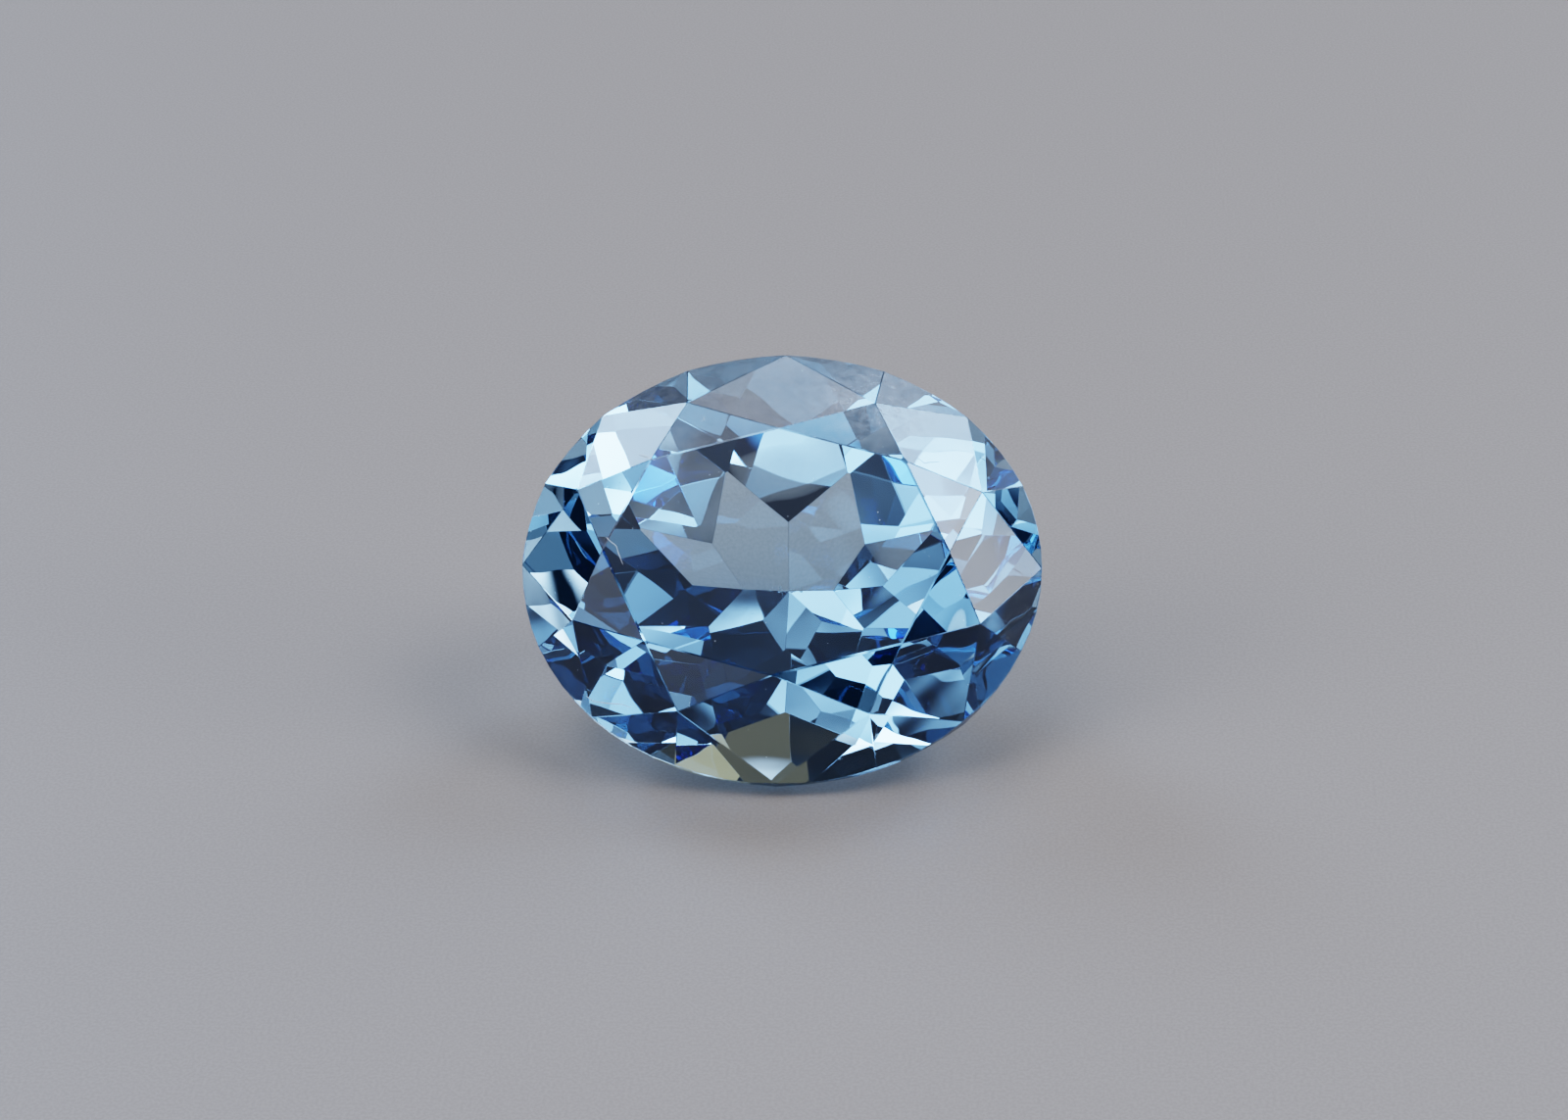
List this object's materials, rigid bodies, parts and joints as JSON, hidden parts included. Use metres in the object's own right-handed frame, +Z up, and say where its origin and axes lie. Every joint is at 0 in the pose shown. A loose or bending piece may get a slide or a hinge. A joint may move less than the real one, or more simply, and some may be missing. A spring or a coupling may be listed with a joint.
{
  "type": "faceted oval gemstone",
  "caption": "Clear sky-blue topaz cut as a faceted oval, with a flat table, low crown, thin girdle and deep pavilion with a short ridge, lying on one pavilion facet.",
  "frame": {"origin": "on the surface the stone lies on, under the middle of its bounding box", "axes": "+X along the oval's long axis, +Z up from the surface, and the table leans up towards -Y"},
  "size_m": [0.014, 0.009, 0.0091],
  "materials": {
    "topaz": "polished clear sky-blue crystal, refractive index about 1.62, with slightly worn facet edges"
  },
  "bodies": {
    "root": {"topaz": "topaz"}
  },
  "joints": []
}
